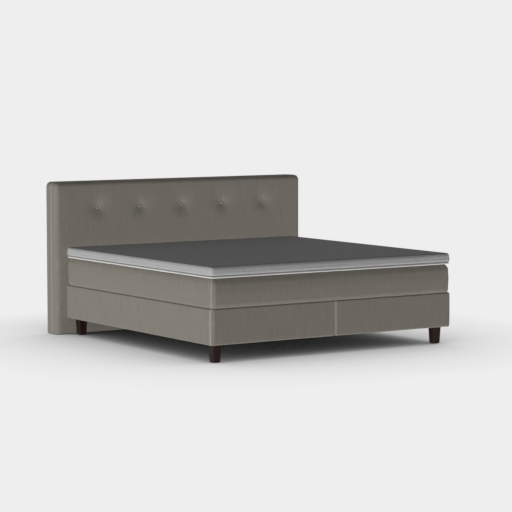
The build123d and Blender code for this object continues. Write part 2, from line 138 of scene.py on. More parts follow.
def pick_edges(piece: Piece, test: PairTest) -> None:
    """Selects the edges of the mesh being edited whose two ends pass a test.

    Args:
        piece: The object in edit mode.
        test: Says whether an edge counts, from its two ends.
    """
    bpy.ops.mesh.select_mode(type="EDGE")
    bpy.ops.mesh.select_all(action="DESELECT")
    mesh = bmesh.from_edit_mesh(piece.data)
    for edge in mesh.edges:
        edge.select_set(test(edge.verts[0].co, edge.verts[1].co))
    bmesh.update_edit_mesh(piece.data)


def pick_faces(piece: Piece, test: PairTest) -> None:
    """Selects the faces of the mesh being edited whose middle and normal pass a test.

    Args:
        piece: The object in edit mode.
        test: Says whether a face counts, from its middle and its normal.
    """
    bpy.ops.mesh.select_mode(type="FACE")
    bpy.ops.mesh.select_all(action="DESELECT")
    mesh = bmesh.from_edit_mesh(piece.data)
    for face in mesh.faces:
        face.select_set(test(face.calc_center_median(), face.normal))
    bmesh.update_edit_mesh(piece.data)


def level_edge(axis: Axis, place: float) -> PairTest:
    """A test for edges that lie in the plane at a place across an axis."""
    return lambda a, b: abs(a[axis.value] - place) < NEAR and abs(b[axis.value] - place) < NEAR


def upright(a: Vector, b: Vector) -> bool:
    """Whether an edge stands upright, from its two ends."""
    return abs(a.x - b.x) < NEAR and abs(a.y - b.y) < NEAR


def add_block(name: str, low: Vector, high: Vector) -> Piece:
    """Adds a box between two opposite corners.

    Args:
        name: The object's name.
        low: The lowest corner.
        high: The highest corner.

    Returns:
        The new object, with its place in its mesh.
    """
    bpy.ops.object.select_all(action="DESELECT")
    bpy.ops.mesh.primitive_cube_add(size=1, location=(low + high) / 2, scale=high - low)
    bpy.ops.object.transform_apply(location=True, rotation=True, scale=True)
    piece = bpy.context.object
    piece.name = piece.data.name = name
    return piece


def add_disc(middle: Vector, radius: float, thickness: float, sides: int = 32) -> Piece:
    """Adds a disc whose axis lies along the bed.

    Args:
        middle: Its middle.
        radius: Its radius.
        thickness: Its thickness.
        sides: How many flats go round it.

    Returns:
        The new object, with its place in its mesh.
    """
    bpy.ops.object.select_all(action="DESELECT")
    bpy.ops.mesh.primitive_cylinder_add(
        vertices=sides, radius=radius, depth=thickness,
        location=middle, rotation=(math.pi / 2, 0.0, 0.0),
    )
    bpy.ops.object.transform_apply(location=True, rotation=True, scale=True)
    return bpy.context.object


def round_edges(piece: Piece, radius: float, steps: int, test: PairTest) -> None:
    """Rounds the edges of the mesh being edited that pass a test.

    Args:
        piece: The object in edit mode.
        radius: The rounding's radius.
        steps: How many faces go round it.
        test: Says which edges, from their two ends.
    """
    pick_edges(piece, test)
    bpy.ops.mesh.bevel(
        offset=radius, segments=steps, profile=0.5, affect="EDGES", clamp_overlap=False
    )


def evenly(low: float, high: float, pitch: float) -> list[float]:
    """Evenly spaced places strictly between two ends, about one pitch apart."""
    count = max(1, round((high - low) / pitch))
    return [low + (high - low) * step / count for step in range(1, count)]


def cut_across(axis: Axis, places: Iterable[float]) -> None:
    """Cuts the mesh being edited along planes across an axis.

    Args:
        axis: The axis.
        places: Where the planes cross it.
    """
    for place in places:
        bpy.ops.mesh.select_all(action="SELECT")
        bpy.ops.mesh.bisect(plane_co=axis.unit(place), plane_no=axis.unit())


def cut_grid(
    axes: Iterable[Axis], low: Vector, high: Vector, pitch: float, margin: float = 0.0
) -> None:
    """Cuts the mesh being edited into a grid.

    Args:
        axes: The axes that the cuts go across.
        low: The mesh's lowest corner.
        high: Its highest corner.
        pitch: About how far apart the cuts are.
        margin: How far the grid ends inside the corners.
    """
    for axis in axes:
        i = axis.value
        cut_across(axis, evenly(low[i] + margin, high[i] - margin, pitch))


def gridded_block(name: str, node: str, axes: Iterable[Axis], pitch: float) -> Piece:
    """Adds a block in the place of a node, cut into a grid.

    Args:
        name: The object's name.
        node: The node whose place it takes.
        axes: The axes that the cuts go across.
        pitch: About how far apart the cuts are.

    Returns:
        The block.
    """
    low, high = corners_of(node)
    piece = add_block(name, low, high)
    with editing(piece):
        cut_grid(axes, low, high, pitch)
    return piece


def merge_near(nearest: float = 0.0003) -> None:
    """Merges the points of the mesh being edited that lie almost on each other.

    Args:
        nearest: How near two points are merged.
    """
    bpy.ops.mesh.select_all(action="SELECT")
    bpy.ops.mesh.remove_doubles(threshold=nearest)
    bpy.ops.mesh.dissolve_degenerate(threshold=nearest)


def move_points(piece: Piece, moved: Mover) -> None:
    """Moves each point of a mesh in object mode.

    Args:
        piece: The object.
        moved: Gives a point's new place from its place and its normal.
    """
    places = [moved(point.co.copy(), point.normal.copy()) for point in piece.data.vertices]
    for point, place in zip(piece.data.vertices, places):
        point.co = place
    piece.data.update()


def ease(low: float, high: float, value: float) -> float:
    """A smooth step, 0 up to the low value and 1 from the high value on."""
    share = min(1.0, max(0.0, (value - low) / (high - low)))
    return share * share * (3 - 2 * share)


def apply_modifier(piece: Piece, kind: str, **settings: object) -> None:
    """Adds a modifier to a piece and applies it.

    Args:
        piece: The object.
        kind: The modifier's type.
        **settings: The modifier's own settings.
    """
    activate(piece)
    modifier = piece.modifiers.new(kind.lower(), kind)
    for key, value in settings.items():
        setattr(modifier, key, value)
    bpy.ops.object.modifier_apply(modifier=modifier.name)


def smooth(piece: Piece, sharpest: float = 40.0) -> None:
    """Shades a piece smooth, with its flat faces kept flat.

    Args:
        piece: The object.
        sharpest: Edges that turn by more than this many degrees stay sharp.
    """
    activate(piece)
    bpy.ops.object.shade_smooth_by_angle(angle=math.radians(sharpest))
    apply_modifier(piece, "WEIGHTED_NORMAL", keep_sharp=True)


def give_wall(piece: Piece, thickness: float) -> None:
    """Gives an open skin its wall, inwards from its outer face."""
    apply_modifier(piece, "SOLIDIFY", thickness=thickness, offset=-1)


def cut_out(piece: Piece, tool: Piece) -> None:
    """Cuts one form out of another and deletes the cutting form."""
    apply_modifier(piece, "BOOLEAN", operation="DIFFERENCE", object=tool)
    bpy.data.objects.remove(tool)


def mark(piece: Piece, name: str, share: Callable[[Vector], float]) -> None:
    """Writes a number on every point of a mesh, for its material to read.

    Args:
        piece: The object.
        name: The attribute's name.
        share: Gives a point's number from its place.
    """
    marks = piece.data.attributes.new(name, "FLOAT", "POINT")
    for point, value in zip(piece.data.vertices, marks.data):
        value.value = share(point.co)


def dress(piece: Piece, material: bpy.types.Material) -> None:
    """Gives a piece one material in place of any it has."""
    piece.data.materials.clear()
    piece.data.materials.append(material)


@dataclass(frozen=True)
class Padding:
    """The push of the padding under a cover, settled by a short cloth simulation."""

    pressure: float = 4.0
    frames: int = 20
    farthest: float = 0.002

    def press(self, piece: Piece, held: Test) -> None:
        """Lets the padding swell the cover where nothing holds it.

        Args:
            piece: The cover.
            held: Says whether a point stays where it is.
        """
        activate(piece)
        before = [point.co.copy() for point in piece.data.vertices]
        fixed = piece.vertex_groups.new(name="held")
        fixed.add([number for number, place in enumerate(before) if held(place)], 1.0, "REPLACE")
        cloth = piece.modifiers.new("cover", "CLOTH")
        cloth.settings.vertex_group_mass = fixed.name
        cloth.settings.use_pressure = True
        cloth.settings.uniform_pressure_force = self.pressure
        cloth.settings.effector_weights.gravity = 0.0
        scene = bpy.context.scene
        for frame_number in range(1, self.frames + 1):
            scene.frame_set(frame_number)
        bpy.ops.object.modifier_apply(modifier=cloth.name)
        scene.frame_set(1)
        for point, place in zip(piece.data.vertices, before):
            move = point.co - place
            point.co = place + move * self.farthest / (self.farthest + move.length)
        piece.vertex_groups.clear()
        piece.data.update()


# Shader helpers


class Graph:
    """A node tree under construction, with short calls to add and link nodes."""

    def __init__(self, tree: bpy.types.NodeTree) -> None:
        """Takes over a node tree and empties it."""
        self.tree = tree
        tree.nodes.clear()

    def add(self, kind: str, inputs: dict | None = None, **settings: object) -> bpy.types.Node:
        """Adds a node.

        Args:
            kind: The node's type name without its ShaderNode prefix.
            inputs: Values or output sockets for its inputs, by name or place.
            **settings: The node's own settings.

        Returns:
            The new node.
        """
        prefix = "" if kind.startswith("Node") else "ShaderNode"
        node = self.tree.nodes.new(prefix + kind)
        for key, value in settings.items():
            setattr(node, key, value)
        for key, value in (inputs or {}).items():
            if isinstance(value, Socket):
                self.tree.links.new(value, node.inputs[key])
            else:
                node.inputs[key].default_value = value
        return node

    def place(self) -> Socket:
        """Adds the shaded point's place in its object's own coordinates."""
        return self.add("TexCoord").outputs["Object"]

    def split(self, vector: Socket) -> bpy.types.NodeOutputs:
        """Adds the three coordinates of a vector."""
        return self.add("SeparateXYZ", {0: vector}).outputs

    def math(self, operation: str, *values: object) -> Socket:
        """Adds a Math node on numbers or sockets."""
        return self.add("Math", dict(enumerate(values)), operation=operation).outputs[0]

    def scaled(self, vector: Socket, factor: object) -> Socket:
        """Adds the product of a vector or colour with another or with a number."""
        return self.add("VectorMath", {0: vector, 1: factor}, operation="MULTIPLY").outputs[0]

    def weighed(self, first: Socket, share: float, second: Socket) -> Socket:
        """Adds the sum of a share of the first value and the rest of the second."""
        parts = (self.math("MULTIPLY", first, share), self.math("MULTIPLY", second, 1 - share))
        return self.math("ADD", *parts)

    def ranged(
        self, value: Socket, low: float, high: float, to_low: float = 0.0, to_high: float = 1.0
    ) -> Socket:
        """Adds a Map Range node that holds its result between its ends."""
        return self.add("MapRange", dict(enumerate((value, low, high, to_low, to_high)))).outputs[0]

    def mix(self, share: Socket, first: object, second: object) -> Socket:
        """Adds a mix of two colours, with the share of the second one."""
        return self.add("Mix", {0: share, 6: first, 7: second}, data_type="RGBA").outputs[2]

    def noise(self, where: Socket, scale: float, detail: float) -> Socket:
        """Adds the value of a noise texture."""
        return self.add("TexNoise", {"Vector": where, "Scale": scale, "Detail": detail}).outputs[0]

    def cells(self, where: Socket, size: float, randomness: float) -> Socket:
        """Adds the distance from the middle of the nearest of many round cells."""
        inputs = {"Vector": where, "Scale": 1 / size, "Randomness": randomness}
        return self.add("TexVoronoi", inputs).outputs["Distance"]


def linear(colour: Colour) -> Rgba:
    """A display colour, from 0 to 1, as the linear colour that a shader takes."""
    channels = [c / 12.92 if c <= 0.04045 else ((c + 0.055) / 1.055) ** 2.4 for c in colour]
    return (*channels, 1.0)


def new_group(name: str, inputs: Iterable[str], outputs: dict[str, str]) -> Graph:
    """Starts a shader node group.

    Args:
        name: The group's name.
        inputs: Its inputs, which take numbers.
        outputs: Its outputs, each with its kind of socket.

    Returns:
        Its graph, empty but for the sockets.
    """
    tree = bpy.data.node_groups.new(name, "ShaderNodeTree")
    for socket in inputs:
        tree.interface.new_socket(socket, in_out="INPUT", socket_type="NodeSocketFloat")
    for socket, kind in outputs.items():
        tree.interface.new_socket(socket, in_out="OUTPUT", socket_type="NodeSocket" + kind)
    return Graph(tree)


def thread_group(level_share: float = 0.72) -> bpy.types.NodeTree:
    """Builds the group that gives each point its place across and along the cloth's threads.

    On upright faces the threads stand upright; on level faces they run along the bed.

    Args:
        level_share: The upward share of a face's normal from which it counts as level.

    Returns:
        The group, with one vector output.
    """
    graph = new_group("thread directions", (), {"Threads": "Vector"})
    place = graph.split(graph.place())
    normal = graph.split(graph.add("TexCoord").outputs["Normal"])
    level = graph.math("GREATER_THAN", graph.math("ABSOLUTE", normal[2]), level_share)
    around = graph.math("ADD", place[0], place[1])
    on_side = graph.add("CombineXYZ", {0: around, 1: place[2]}).outputs[0]
    on_top = graph.add("CombineXYZ", {0: place[0], 1: place[1]}).outputs[0]
    threads = graph.add("Mix", {0: level, 4: on_side, 5: on_top}, data_type="VECTOR")
    graph.add("NodeGroupOutput", {0: threads.outputs[1]})
    return graph.tree


def slub_group(
    threads: bpy.types.NodeTree,
    band_scale: tuple[float, float, float] = (0.23, 0.35, 1.0),
    slub_share: float = 0.65,
    weave_share: float = 0.5,
) -> bpy.types.NodeTree:
    """Builds the group for a plain weave with thick and thin upright yarns.

    Args:
        threads: The group of thread directions.
        band_scale: How fine the cloth's wide bands are beside its slubs.
        slub_share: The slubs' share of the tone; the bands have the rest.
        weave_share: The yarns' share of the height; the slubs have the rest.

    Returns:
        The group: inputs for the yarn's width, the slubs' width and length, outputs Tone, from 0
        to 1, and Height.
    """
    outputs = {"Tone": "Float", "Height": "Float"}
    graph = new_group("slub weave", ("Yarn", "Slub width", "Slub length"), outputs)
    given = graph.add("NodeGroupInput").outputs
    along = graph.split(graph.add("Group", node_tree=threads).outputs[0])
    in_slubs = {i: graph.math("DIVIDE", along[i], given[i + 1]) for i in range(2)}
    stretched = graph.add("CombineXYZ", in_slubs).outputs[0]
    slubs = graph.noise(stretched, 1.0, 3.0)
    bands = graph.noise(graph.scaled(stretched, band_scale), 1.0, 1.0)
    in_yarns = [graph.math("DIVIDE", along[i], given[0]) for i in range(2)]
    waves = [graph.math("SINE", graph.math("MULTIPLY", way, math.pi)) for way in in_yarns]
    weave = graph.math("ABSOLUTE", graph.math("MULTIPLY", *waves))
    tone = graph.weighed(slubs, slub_share, bands)
    graph.add("NodeGroupOutput", {0: tone, 1: graph.weighed(weave, weave_share, slubs)})
    return graph.tree


# Finishes


@dataclass(frozen=True)
class Finish(ABC):
    """A finish of this bed: a base colour, its shades, how rough it is and its relief."""

    slot: str
    colour: Colour
    roughness: float = 0.8
    gloss: float = 0.03
    metallic: float = 0.0
    contrast: float = 0.25
    tone_range: tuple[float, float] = (0.3, 0.7)
    depth: float = 0.0003

    def toned(self, tone: float) -> Rgba:
        """The base colour made darker or paler, as a shader takes it."""
        return (*(min(1.0, c * tone) for c in linear(self.colour)[:3]), 1.0)

    def shaded(self, graph: Graph, value: Socket) -> Socket:
        """Adds the base colour, from dark to pale over the tone range of a value."""
        share = graph.ranged(value, *self.tone_range)
        return graph.mix(share, self.toned(1 - self.contrast), self.toned(1 + self.contrast))

    @abstractmethod
    def pattern(self, graph: Graph) -> tuple[Socket, Socket]:
        """Adds the finish's pattern.

        Args:
            graph: The material's graph.

        Returns:
            The colour, and the relief's height from 0 to 1.
        """

    def material(self) -> bpy.types.Material:
        """Builds the material.

        Returns:
            The material, named after its slot.
        """
        material = bpy.data.materials.new(self.slot)
        material.use_nodes = True
        graph = Graph(material.node_tree)
        colour, height = self.pattern(graph)
        relief = graph.add("Bump", {"Height": height, "Distance": self.depth})
        shader = graph.add("BsdfPrincipled", {
            "Base Color": colour,
            "Roughness": self.roughness,
            "Metallic": self.metallic,
            "Specular IOR Level": self.gloss,
            "Normal": relief.outputs[0],
        })
        graph.add("OutputMaterial", {0: shader.outputs[0]})
        return material


@dataclass(frozen=True)
class SlubFabric(Finish):
    """A plain weave with fine upright slubs, with a painted highlight on its marked seams."""

    contrast: float = 0.12
    yarn: float = 0.0014
    slub_width: float = 0.0035
    slub_length: float = 0.08
    # How much paler the marked seams are painted: a painted highlight.
    seam_highlight_tone: float = 1.9
    weave: bpy.types.NodeTree | None = None

    def pattern(self, graph: Graph) -> tuple[Socket, Socket]:
        """Adds the weave, and a painted highlight on the seams where points are marked.

        Args:
            graph: The material's graph.

        Returns:
            The colour, and the relief's height.
        """
        sizes = {0: self.yarn, 1: self.slub_width, 2: self.slub_length}
        cloth = graph.add("Group", sizes, node_tree=self.weave).outputs
        seam = graph.add("Attribute", attribute_name="seam").outputs["Fac"]
        # Where points are marked as seam the colour turns pale: a painted highlight.
        colour = graph.mix(seam, self.shaded(graph, cloth["Tone"]), self.toned(self.seam_highlight_tone))
        return colour, cloth["Height"]


@dataclass(frozen=True)
class Speckle(Finish):
    """A finish with a speckle of pores, chips or fibres."""

    tone_range: tuple[float, float] = (0.75, 1.25)
    grain: float = 0.004
    cloud_scale: float = 0.12

    def pattern(self, graph: Graph) -> tuple[Socket, Socket]:
        """Adds grains and larger clouds.

        Args:
            graph: The material's graph.

        Returns:
            The colour, and the relief's height.
        """
        where = graph.place()
        grain = graph.noise(where, 1 / self.grain, 4.0)
        cloud = graph.noise(where, self.cloud_scale / self.grain, 2.0)
        return self.shaded(graph, graph.math("ADD", grain, cloud)), grain


@dataclass(frozen=True)
class Perforated(Finish):
    """A spacer mesh or non-slip cloth: a regular field of round pores."""

    depth: float = 0.0006
    pore: float = 0.003
    pore_share: float = 0.32
    pore_edge: float = 0.4
    pore_tone: float = 0.72
    randomness: float = 0.25
    cloud_scale: float = 14.0
    cloud_range: tuple[float, float] = (0.35, 0.65)
    cloud_tone: float = 0.06

    def pattern(self, graph: Graph) -> tuple[Socket, Socket]:
        """Adds the pores and faint clouds.

        Args:
            graph: The material's graph.

        Returns:
            The colour, and the relief's height.
        """
        where = graph.place()
        edges = (self.pore_share * (1 + sign * self.pore_edge) for sign in (-1, 1))
        body = graph.ranged(graph.cells(where, self.pore, self.randomness), *edges)
        cloth = graph.mix(body, self.toned(self.pore_tone), self.toned(1.0))
        cloud = graph.noise(where, self.cloud_scale, 3.0)
        tones = (1 - self.cloud_tone, 1 + self.cloud_tone)
        return graph.scaled(cloth, graph.ranged(cloud, *self.cloud_range, *tones)), body


@dataclass(frozen=True)
class StitchedMesh(Finish):
    """Mottled spacer mesh with dark stitches, also painted shade of the crease, where its points
    are marked.
    """

    contrast: float = 0.18
    tone_range: tuple[float, float] = (0.55, 1.15)
    depth: float = 0.0006
    pore: float = 0.003
    randomness: float = 0.5
    mottle: float = 0.012
    # The stitches' colour, dark enough to paint the crease's shade as well.
    thread: Colour = (0.30, 0.30, 0.30)
    stitch_length: float = 0.014
    stitch_ends: tuple[float, float] = (-0.7, -0.3)
    gap_share: float = 0.35

    def pattern(self, graph: Graph) -> tuple[Socket, Socket]:
        """Adds the mottled mesh and its stitches, which also paint the crease's shade.

        Args:
            graph: The material's graph.

        Returns:
            The colour, and the relief's height.
        """
        where = graph.place()
        cells = graph.cells(where, self.pore, self.randomness)
        mottled = graph.noise(where, 1 / self.mottle, 4.0)
        mesh = self.shaded(graph, graph.math("ADD", mottled, cells))
        place = graph.split(where)
        around = graph.math("SUBTRACT", place[0], place[1])
        turns = graph.math("MULTIPLY", around, 2 * math.pi / self.stitch_length)
        thread = graph.ranged(graph.math("SINE", turns), *self.stitch_ends, self.gap_share)
        marked = graph.add("Attribute", attribute_name="stitch_and_crease_shade").outputs["Fac"]
        stitched = graph.math("MULTIPLY", marked, thread)
        return graph.mix(stitched, mesh, linear(self.thread)), cells


@dataclass(frozen=True)
class Timber(Finish):
    """Wood with its grain along one axis, planed or stained."""

    contrast: float = 0.3
    tone_range: tuple[float, float] = (0.35, 0.65)
    depth: float = 0.0002
    along: Axis = Axis.Z
    stretch: float = 0.93
    ring: float = 0.009
    fibres_per_ring: float = 9.0
    ring_share: float = 0.7

    def pattern(self, graph: Graph) -> tuple[Socket, Socket]:
        """Adds drawn-out rings and fibres.

        Args:
            graph: The material's graph.

        Returns:
            The colour, and the relief's height.
        """
        drawn = graph.scaled(graph.place(), Vector(WHITE[:3]) - self.along.unit(self.stretch))
        rings = graph.noise(drawn, 1 / self.ring, 3.0)
        fibres = graph.noise(drawn, self.fibres_per_ring / self.ring, 2.0)
        return self.shaded(graph, graph.weighed(rings, self.ring_share, fibres)), fibres


def build_finishes() -> Finishes:
    """Builds every material of the bed.

    Returns:
        The materials by the record's slot names.
    """
    weave = slub_group(thread_group())
    finishes = (
        SlubFabric("upholstery", (0.52, 0.502, 0.468), weave=weave),
        # The top panel is greyer than the border, partly its own colour and partly painted shade
        # for weak light from above.
        SlubFabric(
            "topper_panel", (0.50, 0.50, 0.50), contrast=0.05, slub_length=0.01, weave=weave
        ),
        StitchedMesh("topper_border", (0.665, 0.665, 0.665)),
        Speckle("piping", (0.86, 0.86, 0.85), grain=0.0015, contrast=0.08),
        Timber("dark_wood", (0.14, 0.085, 0.07), 0.4, gloss=0.12),
        Timber("timber", (0.72, 0.58, 0.40), 0.6, along=Axis.X, ring=0.012),
        Speckle("board", (0.55, 0.42, 0.28), grain=0.003, contrast=0.35),
        Speckle("foam", (0.85, 0.82, 0.68), grain=0.0015, contrast=0.1),
        Perforated("pocket_springs", (0.86, 0.86, 0.86), pore=0.002, pore_tone=0.9),
        Perforated("non_slip_cloth", (0.16, 0.16, 0.17), pore=0.006, pore_tone=1.8),
        Speckle("dust_cloth", (0.06, 0.06, 0.065), grain=0.002),
        Speckle("felt", (0.20, 0.17, 0.15), grain=0.001),
        Speckle("twine", (0.60, 0.55, 0.42), grain=0.001),
        Speckle(
            "zinc_steel", (0.66, 0.66, 0.64), 0.35, 0.5, metallic=1.0, contrast=0.08, depth=0.0
        ),
    )
    return {finish.slot: finish.material() for finish in finishes}


# Forms that the soft pieces share


def rounding(radius: float, steps: int, deepest: float | None = None) -> Profile:
    """Points on a rounded edge, from its face to its side.

    Args:
        radius: How far in the rounding starts on the face.
        steps: How many flats go round it.
        deepest: How far down it ends on the side, or None for a round one.

    Returns:
        The points: depth below the face, and inset from the side.
    """
    angles = [math.pi / 2 * step / steps for step in range(steps + 1)]
    down = deepest or radius
    return [(down * (1 - math.cos(angle)), radius * (1 - math.sin(angle))) for angle in angles]


def inset_at(profile: Profile, height: float) -> float:
    """How far a cushion's side is drawn in at a height.

    Args:
        profile: Heights above the bottom, rising, with the inset at each.
        height: The height asked about.

    Returns:
        The inset.
    """
    for (first, inset), (second, next_inset) in zip(profile, profile[1:]):
        if height <= second + NEAR:
            return inset + (next_inset - inset) * ease(first, second, height)
    return profile[-1][1]


@dataclass(frozen=True)
class Seam:
    """A raised, sewn seam that runs round a cover in a plane across the bed's length; its mark
    paints a pale highlight on the cloth.
    """

    half_width: float = 0.002
    flank: float = 0.0012
    rise: float = 0.001
    reach: float = 0.022
    # How strongly the seam's mark paints a pale highlight on the cloth.
    strength: float = 1.0

    def cut(self, places: Iterable[float]) -> None:
        """Cuts the mesh being edited along both edges of each seam.

        Args:
            places: The seams' places along the bed.
        """
        for place in places:
            for edge in (self.half_width, self.half_width + self.flank):
                cut_across(Axis.Y, (place - edge, place + edge))

    def share(self, point: Vector, places: Iterable[float]) -> float:
        """How far a point is on the seams at some places, from 0 beside them to 1 on one."""
        away = min((abs(point.y - place) for place in places), default=1.0)
        return 1 - ease(self.half_width + NEAR, self.half_width + self.flank, away)


def cushion(
    name: str,
    low: Vector,
    high: Vector,
    corner: float,
    profile: Profile,
    grid: float,
    seam: Seam = Seam(),
    seams: tuple[float, ...] = (),
    corner_steps: int = 12,
    sharpest_share: float = 0.125,
    fine_share: float = 0.25,
) -> Piece:
    """Builds a cushion: a block with round upright corners, whose sides follow a profile.

    Args:
        name: The object's name.
        low: Its lowest corner.
        high: Its highest corner.
        corner: The radius of its upright corners.
        profile: Heights above the bottom, rising, with the inset at each.
        grid: About how large its faces are.
        seam: The kind of seam on its long sides.
        seams: The seams' places along the bed.
        corner_steps: How many faces go round an upright corner.
        sharpest_share: The least share of the corner's radius that an inset leaves.
        fine_share: The height of its sides' faces, as a share of the grid.

    Returns:
        The cushion.
    """
    margin = max(corner, max(inset for _, inset in profile) + grid / 2)
    piece = add_block(name, low, high)
    with editing(piece):
        round_edges(piece, corner, corner_steps, upright)
        cut_grid((Axis.X, Axis.Y), low, high, grid, margin)
        seam.cut(seams)
        cut_across(Axis.Z, [low.z + height for height, _ in profile[1:-1]])
        for (first, _), (second, _) in zip(profile, profile[1:]):
            cut_across(Axis.Z, evenly(low.z + first, low.z + second, grid * fine_share))

    def seamed(point: Vector) -> float:
        """The share of a seam at a point."""
        return seam.share(point, seams) if abs(point.x) > high.x - seam.reach else 0.0

    def held_to(point: Vector, inset: float) -> Vector:
        """Holds a point inside the cushion's outline.

        Args:
            point: The point.
            inset: How far the outline is drawn in.

        Returns:
            The nearest place inside it.
        """
        return Vector((
            min(max(point.x, low.x + inset), high.x - inset),
            min(max(point.y, low.y + inset), high.y - inset),
            point.z,
        ))

    def drawn_in(point: Vector, _: Vector) -> Vector:
        """Draws a point in, so that the sides follow the profile.

        Args:
            point: The point.
            _: Its normal, which isn't needed.

        Returns:
            Its new place.
        """
        core = held_to(point, corner)
        out = point - core
        if out.length < NEAR:
            return point
        inset = inset_at(profile, point.z - low.z)
        radius = max(corner - inset, corner * sharpest_share)
        reach = radius * min(1.0, out.length / corner) + seam.rise * seamed(point)
        return held_to(core, inset + radius) + out.normalized() * reach

    # The seam mark paints a pale highlight along the seams.
    if seams:
        mark(piece, "seam", lambda point: seam.strength * seamed(point))
    move_points(piece, drawn_in)
    return piece


# The bed's sub-assemblies


@dataclass
class Assembly:
    """A sub-assembly of the bed: the materials for its pieces and the body that carries them."""

    finishes: Finishes
    body: ClassVar[str] = "bed_frame"

    def settle(self, piece: Piece, slot: str, node: str) -> None:
        """Dresses a finished piece, ties it to its body and hides the node that it stands for.

        Args:
            piece: The object.
            slot: The record's material slot that its finish comes from.
            node: The node that it replaces.
        """
        dress(piece, self.finishes[slot])
        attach(piece, self.body)
        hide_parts(node)
        log.info("%s: %d faces on %s", piece.name, len(piece.data.polygons), self.body)


@dataclass
class BoxBase(Assembly):
    """One upholstered box: its cover, the cloth on top of it and the cloth under it."""

    side: Side
    outer_corner: float = 0.034
    seam_corner: float = 0.016
    corner_steps: int = 8
    edge: float = 0.011
    edge_steps: int = 5
    hem: float = 0.018
    cloth: float = 0.002
    swell: float = 0.0012
    wave_scale: float = 3.1
    wave_share: float = 0.5
    grid: float = 0.07
    seam_from_end: float = 0.0145
    # Its mark paints a pale highlight line near the box's outer corners.
    seam: Seam = Seam()

    def build(self) -> None:
        """Builds and dresses the box's cloths."""
        word = self.side.word
        cover = self.cover(word + "_box_cover")
        self.settle(cover, "upholstery", word + "_base_cover")
        for part, slot in (("top_cloth", "non_slip_cloth"), ("dust_cloth", "dust_cloth")):
            node = word + "_base_" + part
            sheet = gridded_block(word + "_box_" + part, node, (Axis.X, Axis.Y), self.grid)
            smooth(sheet)
            self.settle(sheet, slot, node)

    def cover(self, name: str) -> Piece:
        """Builds the fabric skin of the box, with its hems turned in at the top and the bottom.

        Args:
            name: The object's name.

        Returns:
            The cover.
        """
        low, high = corners_of(self.side.word + "_base_cover")
        piece = add_block(name, low, high)
        outer_x = low.x if self.side is Side.LEFT else high.x
        seams = (low.y + self.seam_from_end, high.y - self.seam_from_end)
        with editing(piece):
            for at_outer, radius in ((True, self.outer_corner), (False, self.seam_corner)):
                round_edges(
                    piece, radius, self.corner_steps,
                    lambda a, b: upright(a, b)
                    and (abs(a.x - outer_x) < NEAR) is at_outer
                    and min(abs(a.y - low.y), abs(a.y - high.y)) < NEAR,
                )
            for level in (low.z, high.z):
                round_edges(piece, self.edge, self.edge_steps, level_edge(Axis.Z, level))
            pick_faces(piece, lambda _, normal: abs(normal.z) > 1 - NEAR)
            bpy.ops.mesh.inset(thickness=self.hem - self.edge)
            bpy.ops.mesh.delete(type="FACE")
            cut_grid(Axis, low, high, self.grid)
            self.seam.cut(seams)
        middle, half = (low + high) / 2, (high - low) / 2

        def seamed(point: Vector) -> float:
            """The share of a seam at a point."""
            at_outer = abs(point.x - outer_x) < self.seam.reach
            return self.seam.share(point, seams) if at_outer else 0.0

        def swollen(point: Vector, normal: Vector) -> Vector:
            """Lifts a point by what the padding and the seams add.

            Args:
                point: The point.
                normal: Its normal.

            Returns:
                Its new place.
            """
            rise = 1 - ((point.z - middle.z) / half.z) ** 2
            wave = noise.noise(point * self.wave_scale) * self.wave_share
            flat = Vector((normal.x, normal.y, 0.0))
            out = self.swell * rise * (1 + wave) + seamed(point) * self.seam.rise
            return point + flat * out

        move_points(piece, swollen)
        give_wall(piece, self.cloth)
        smooth(piece)
        # The seam mark paints a pale highlight line near the box's outer corners.
        mark(piece, "seam", seamed)
        return piece


@dataclass
class Mattress(Assembly):
    """The mattress in its upholstery cover, fuller at half height and well rounded at the top."""

    corner: float = 0.042
    top_inset: float = 0.047
    top_depth: float = 0.048
    top_steps: int = 9
    bottom_inset: float = 0.014
    bottom_depth: float = 0.032
    bottom_steps: int = 7
    draw: float = 0.003
    grid: float = 0.06
    ripple: float = 0.0008
    ripple_scales: tuple[float, float, float] = (2.3, 2.3, 9.0)
    seam_from_end: float = 0.014
    # Its mark paints a faint pale highlight near the mattress's corners.
    seam: Seam = Seam(half_width=0.004, strength=0.35)
    body: ClassVar[str] = "mattress"

    def build(self) -> None:
        """Builds and dresses the mattress cover."""
        low, high = corners_of("mattress_cover")
        height = high.z - low.z
        top = rounding(self.top_inset, self.top_steps, self.top_depth)
        bottom = rounding(self.bottom_inset, self.bottom_steps, self.bottom_depth)
        profile = [(depth, self.draw + inset) for depth, inset in bottom]
        profile.append((height / 2, 0.0))
        profile += [(height - depth, self.draw + inset) for depth, inset in reversed(top)]
        seams = (low.y + self.seam_from_end, high.y - self.seam_from_end)
        piece = cushion(
            "mattress_in_cover", low, high, self.corner, profile, self.grid, self.seam, seams
        )

        def rippled(point: Vector, normal: Vector) -> Vector:
            """A point's place on the slightly uneven sides."""
            wave = noise.noise(point * Vector(self.ripple_scales))
            return point + normal * self.ripple * wave * (1 - abs(normal.z))

        def held(point: Vector) -> bool:
            """Whether a point lies so near the top or the bottom that it stays there."""
            return min(point.z - low.z, high.z - point.z) < self.bottom_depth / 2

        move_points(piece, rippled)
        Padding().press(piece, held)
        smooth(piece)
        self.settle(piece, "upholstery", "mattress_cover")


